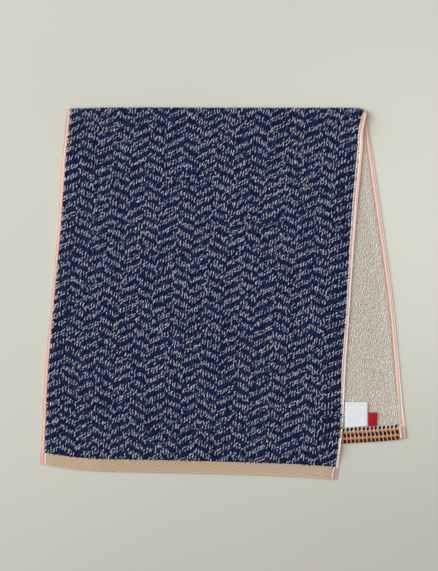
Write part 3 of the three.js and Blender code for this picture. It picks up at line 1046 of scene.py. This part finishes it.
# Stripe tones: painted darker on the left, where the light falls, and lighter on the right, in the pile's
# shade
LEFT_TONES_WITH_PAINTED_SHADE = [0.1, 0.1, 0.1, 0.1, 0.6]
LEFT_HEM_TONES = [-0.3, 0.15, 0.05, -0.1, 0.0]
RIGHT_TONES_WITH_PAINTED_LIGHT = [0.8, 0.5, 0.5, 0.6, 1.0]
RIGHT_HEM_TONES = [0.4, 0.0, -0.4, -0.2, 0.15]
LEFT_STRIPES = [  # share of the cloth's length, and the stripes' edges from the selvedge's plan edge
    (0.0, -0.1, -0.1, 1.2, 2.5, 4.0, 4.1),
    (0.125, -0.1, -0.1, 1.2, 2.5, 3.9, 4.0),
    (0.27, -0.2, -0.2, 0.9, 2.0, 3.3, 3.4),
    (0.41, -0.1, -0.1, 1.1, 2.5, 4.0, 4.1),
    (0.51, -0.1, -0.1, 1.3, 2.8, 4.4, 4.5),
    (1.0, -0.1, -0.1, 1.3, 2.8, 4.4, 4.5),
]
RIGHT_STRIPES = [
    (0.0, 0.3, 0.3, 0.4, 2.1, 3.3, 3.4),
    (0.045, 0.3, 0.3, 0.4, 2.0, 3.1, 3.2),
    (0.075, 0.0, 0.0, 0.1, 1.5, 2.1, 2.2),
    (0.148, -0.3, -0.3, -0.2, 1.3, 3.0, 3.8),
    (0.247, -0.8, -0.8, -0.7, 0.9, 2.4, 3.2),
    (0.346, -0.8, -0.8, 0.4, 2.0, 3.6, 4.6),
    (0.43, -1.0, -1.0, 1.3, 2.7, 4.0, 5.3),
    (0.465, -0.9, -0.9, 1.4, 2.8, 4.0, 5.5),
    (0.485, 0.6, 0.6, 2.8, 3.6, 4.8, 6.3),
    (0.5, 1.0, 1.0, 2.5, 3.2, 4.9, 6.4),
    (0.52, 0.9, 0.9, 2.4, 3.7, 5.2, 5.3),
    (0.545, 0.1, 0.1, 1.9, 3.5, 5.2, 5.3),
    (0.585, -0.6, 0.0, 1.8, 3.5, 5.5, 5.6),
    (0.74, -0.4, 0.4, 1.9, 3.6, 5.5, 5.6),
    (0.895, -0.5, 0.5, 2.1, 3.9, 5.7, 5.8),
    (0.96, 0.4, 2.1, 4.1, 5.8, 7.4, 7.5),
    (1.0, 0.4, 2.1, 4.1, 5.8, 7.4, 7.5),
]
LEFT_HEM_STRIPES = [  # the same edges at the upper and lower hem
    (-0.9, -0.9, 0.9, 2.1, 4.4, 6.2),
    (-0.1, -0.1, 1.3, 2.8, 4.4, 4.5),
]
RIGHT_HEM_STRIPES = [
    (-0.4, -0.4, 0.4, 2.3, 4.1, 6.1),
    (0.1, 0.1, 1.7, 3.2, 5.1, 7.4),
]
LOW_STRIPES_LATE = 3.5  # the lower hem's stripes begin this far into it
HEM_BLEND = (-1.0, 2.0)  # where a hem's stripes give way to the pile's
STRIPE_END = 0.2  # stripes stop this far from the cloth's ends
STRIPE_STEP = 2.0
HEM_STEP = 0.9
STRIPE_HIGH = 0.32
STRIPE_LAP = 1.08  # how much wider they are, to overlap
LEAST_STRIPE = 0.3  # a narrower stripe is turned under
FULL_STRIPE = 1.0  # one this wide has its full lift
TURNED_UNDER = 0.4
WANDER = (0.1, 7.3, 3.0)  # how far stripes wander, length, and shift by tone
HEM_WANDER = (0.3, 0.6, 9.0)  # the same where the hems are sewn
UNSTEADY = 0.06  # how much chance there is in it
RIGHT_LIGHTER = [(0, 0), (0.03, 0), (0.07, 0.4), (0.1, 0.4), (0.14, 0), (0.42, 0), (0.45, 0.4), (0.49, 0.6),
                 (0.52, 0), (1, 0)]  # where the right selvedge catches the light


def upper_hem_share(t):
    return 1 - smooth(t - UPPER_HEM, *HEM_BLEND)


def lower_hem_share(t):
    return 1 - smooth(CLOTH_LONG - LOWER_HEM + LOW_STRIPES_LATE - t, *HEM_BLEND)


def stripe_edges(t, table, hem_rows):
    """Where the stripes of a selvedge meet, from its plan edge."""
    share, *lines = zip(*table)
    edges = []
    for line, upper, lower in zip(lines, *hem_rows):
        edge = curve(list(zip(share, line)), t / CLOTH_LONG)
        edges.append(mix(mix(edge, upper, upper_hem_share(t)), lower, lower_hem_share(t)))
    return edges


def wander(t, tone, far, length, apart):
    return far * np.sin(t / length + apart * tone)


def edge_stripe(t, right, inner, outer, tone, hem_tone, lift):
    """A woven stripe of a selvedge between two distances from its plan edge."""
    half = np.maximum(outer - inner, LEAST_STRIPE) / 2
    in_hem = np.maximum(upper_hem_share(t), lower_hem_share(t))
    place = (inner + outer) / 2 + wander(t, tone, *WANDER) + UNSTEADY * RANDOM.normal(0, 1, len(t))
    place = place + in_hem * wander(t, tone, *HEM_WANDER)
    s = CLOTH_WIDE - place if right else place
    on_cloth = np.clip(s, 0, CLOTH_WIDE - FRAME_STEP)
    here, across, _, up = cloth_frame(on_cloth, t)
    here = here + across * (s - on_cloth)[:, None]
    here[:, 2] -= TURNED_UNDER * (outer - inner < LEAST_STRIPE)
    high = STRIPE_HIGH + lift * smooth(outer - inner, LEAST_STRIPE, FULL_STRIPE)
    tone = mix(tone, hem_tone, in_hem) + right * curve(RIGHT_LIGHTER, t / CLOTH_LONG)
    return tube(here, across, up, half * STRIPE_LAP, high, tone)


def make_selvedges():
    tubes = {"coral": [], "white": []}
    t = steps((STRIPE_END, 0), (UPPER_HEM + HEM_BLEND[1], HEM_STEP),
              (CLOTH_LONG - LOWER_HEM - HEM_BLEND[1], STRIPE_STEP), (CLOTH_LONG - STRIPE_END, HEM_STEP))
    sides = (
        (False, LEFT_STRIPES, LEFT_HEM_STRIPES, LEFT_TONES_WITH_PAINTED_SHADE, LEFT_HEM_TONES),
        (True, RIGHT_STRIPES, RIGHT_HEM_STRIPES, RIGHT_TONES_WITH_PAINTED_LIGHT, RIGHT_HEM_TONES),
    )
    for right, table, hem_rows, *tones in sides:
        edges = stripe_edges(t, table, hem_rows)
        for shade, lift, tone, hem_tone, inner, outer in zip(STRIPES, STRIPE_LIFTS, *tones, edges, edges[1:]):
            tubes[shade].append(edge_stripe(t, right, inner, outer, tone, hem_tone, lift))
    return [
        tube_piece("selvedge_coral", tubes["coral"], CORAL),
        tube_piece("selvedge_white", tubes["white"], WHITE),
    ]


# Labels

LABELS = {  # left, right, top, the bottom's two ends, lift of the free end, and colour
    "label": (138.7, 164.4, -123.3, -152.6, -150.8, 0.5, color(226, 230, 231)),
    "tab": (165.0, 175.0, -134.9, -150.7, -150.1, 0.8, color(170, 14, 28)),
}
LABEL_UNDER = PILE_THICK + 0.3
LABEL_THICK = 0.75
LABEL_GRID = (19, 23)
LABEL_WAVE = 0.12
WAVE_TURNS = (3.1, 5.0)  # over the label, across and up
WAVE_FROM = (1.0, 0.4)
ROUND_FROM = 0.93  # the fold at the free end is round from here
ROUND_BY = 0.6
RIBBON_THREADS = ((420.0, 0.4), (260.0, 0.5))  # scale and distortion, across X and across Y
RIBBON_RELIEF = 0.4  # share of the threads in its tone, against the mottling
RIBBON_DARK = 0.8


def label_material(name, shade):
    """Fine ribbon of crossing threads, with soft mottling."""
    nodes = Nodes(name, roughness=0.7, sheen=0.05, specular=0.15)
    relief = nodes.weave(*RIBBON_THREADS)
    mottle = nodes.weighted((relief, RIBBON_RELIEF), (nodes.noise(scale=240.0), 1 - RIBBON_RELIEF))
    dark = (*[RIBBON_DARK * part for part in shade[:3]], 1)
    nodes.base(nodes.ramp(mottle, [(0.1, dark), (0.65, shade)]))
    nodes.bump(relief, strength=0.4, distance=0.00012)
    return nodes.material


def make_label(name, left, right, top, bottom_left, bottom_right, lift, shade):
    """A folded ribbon that lies on the pile, its fold at the free end."""
    across, up = np.meshgrid(*(np.linspace(0, 1, lines) for lines in LABEL_GRID))
    x = mix(left, right, across)
    y = mix(mix(bottom_left, bottom_right, across), top, up)
    wave_across = np.sin(WAVE_TURNS[0] * across + WAVE_FROM[0])
    wave = LABEL_WAVE * wave_across * np.sin(WAVE_TURNS[1] * up + WAVE_FROM[1])
    middle = LABEL_UNDER + lift * up**2 + wave + LABEL_THICK / 2
    half = LABEL_THICK / 2 * (1 - ROUND_BY * smooth(up, ROUND_FROM, 1.0) ** 2)
    front, back = (np.stack([x, y, middle + face * half], -1) + CENTRING for face in (1, -1))
    points, quads, uv = closed_sheet(front, back)
    material = label_material(name + "_ribbon", shade)
    piece = make_piece(name + "_ribbon", points, [quads], material, uv)
    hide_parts(name)
    return piece


# Stage

PHOTO_PIXELS = 571
PIXEL = 1.137  # of the photo, in mm
VIEW_CENTRE = np.array([-4.8, 9.4, 0]) + CENTRING
CAMERA_HIGH = 5000.0
CLOTH_HIGH = 5.0  # height at which the picture's scale holds
SENSOR = 36.0
FLOOR_HALF = 3000.0
FLOOR_LOW = -0.1
FLOOR_TONES = color(200, 199, 188), color(203, 202, 191)
FLOOR_FALL_TO = (0.35, -1.0, 0.0)  # the way in which the floor's light falls off
FLOOR_FALL = (-0.06, 0.42, 0.995, 0.8)  # from and to along it, and the light there
FLOOR_GLOW_AT = (0.25, 0.05, 0.0)
FLOOR_GLOW = (0.0, 0.36, 0.14, 0.0)  # from and to in distance, and the light there


def make_camera():
    camera = bpy.data.objects.new("camera", bpy.data.cameras.new("camera"))
    camera.data.sensor_width = SENSOR
    camera.data.lens = SENSOR * (CAMERA_HIGH - CLOTH_HIGH) / (PHOTO_PIXELS * PIXEL)
    camera.data.clip_end = 10 * CAMERA_HIGH * MM
    camera.location = (VIEW_CENTRE + np.array([0, 0, CAMERA_HIGH])) * MM
    show(camera)
    bpy.context.scene.camera = camera


def make_floor():
    """A pale table whose light falls off towards the front and is strongest at the right."""
    nodes = Nodes("floor", roughness=0.85, sheen=0.0)
    along = nodes.add("VectorMath", {"operation": "DOT_PRODUCT"}, nodes.place, FLOOR_FALL_TO).outputs["Value"]
    away = nodes.add("VectorMath", {"operation": "DISTANCE"}, nodes.place, FLOOR_GLOW_AT).outputs["Value"]
    light = nodes.math("ADD", nodes.smooth_range(along, FLOOR_FALL), nodes.smooth_range(away, FLOOR_GLOW))
    grain = nodes.ramp(nodes.noise(scale=3.0), [(0.3, FLOOR_TONES[0]), (0.7, FLOOR_TONES[1])])
    nodes.base(nodes.blend(1.0, grain, light, "MULTIPLY"))
    corners = [(-1, -1), (1, -1), (1, 1), (-1, 1)]
    points = [(x * FLOOR_HALF * MM, y * FLOOR_HALF * MM, FLOOR_LOW * MM) for x, y in corners]
    mesh = bpy.data.meshes.new("floor")
    mesh.from_pydata(points, [], [(0, 1, 2, 3)])
    mesh.materials.append(nodes.material)
    floor = bpy.data.objects.new("floor", mesh)
    show(floor)


def make_light(name, place, size, power):
    light = bpy.data.objects.new(name, bpy.data.lights.new(name, "AREA"))
    light.data.shape = "DISK"
    light.data.size = size
    light.data.energy = power
    light.location = place
    light.rotation_euler = (-light.location).to_track_quat("-Z", "Y").to_euler()
    show(light)


def make_world(strength):
    world = bpy.data.worlds.new("studio")
    world.use_nodes = True
    background = world.node_tree.nodes["Background"]
    background.inputs["Color"].default_value = (1, 1, 1, 1)
    background.inputs["Strength"].default_value = strength
    bpy.context.scene.world = world


def make_stage():
    make_camera()
    make_floor()
    make_light("side", place=(-8.8, 3.2, 5.4), size=14.0, power=1620.0)
    make_light("top", place=(-0.4, 0.4, 5.0), size=3.0, power=94.0)
    make_world(strength=0.25)
    bpy.context.scene.view_settings.view_transform = "Standard"


hems = [make_twill_hem, make_border, make_dashes, make_cords]
pieces = make_front_pile() + make_plain_pile() + [make() for make in hems] + make_selvedges()
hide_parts("towel")
for label_name, label in LABELS.items():
    ribbon = make_label(label_name, *label)
make_stage()

bpy.context.view_layer.update()
